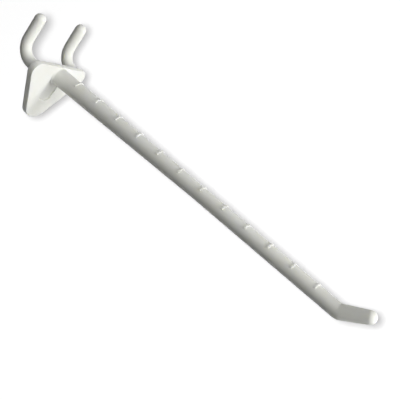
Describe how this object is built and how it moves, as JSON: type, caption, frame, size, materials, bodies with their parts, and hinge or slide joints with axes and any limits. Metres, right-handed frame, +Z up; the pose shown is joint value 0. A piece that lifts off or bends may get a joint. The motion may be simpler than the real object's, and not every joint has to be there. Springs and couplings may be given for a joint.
{
  "type": "pegboard hook",
  "caption": "Long round display arm that rises slightly to an upturned domed tip, with raised ridges along its top, on a rounded triangular back plate with upturned pegs for perforated board.",
  "frame": {"origin": "on the plate's back face, midway between the pegs and level with their axes, where the face bears on the board", "axes": "+Z up, +X to the right seen from the front, +Y from the plate into the board; the arm runs towards -Y and the pegs run towards +Y and then up"},
  "size_m": [0.0314, 0.1529, 0.0345],
  "materials": {
    "nylon": "satin white moulded nylon"
  },
  "bodies": {
    "root": {"hook": "nylon"}
  },
  "joints": []
}
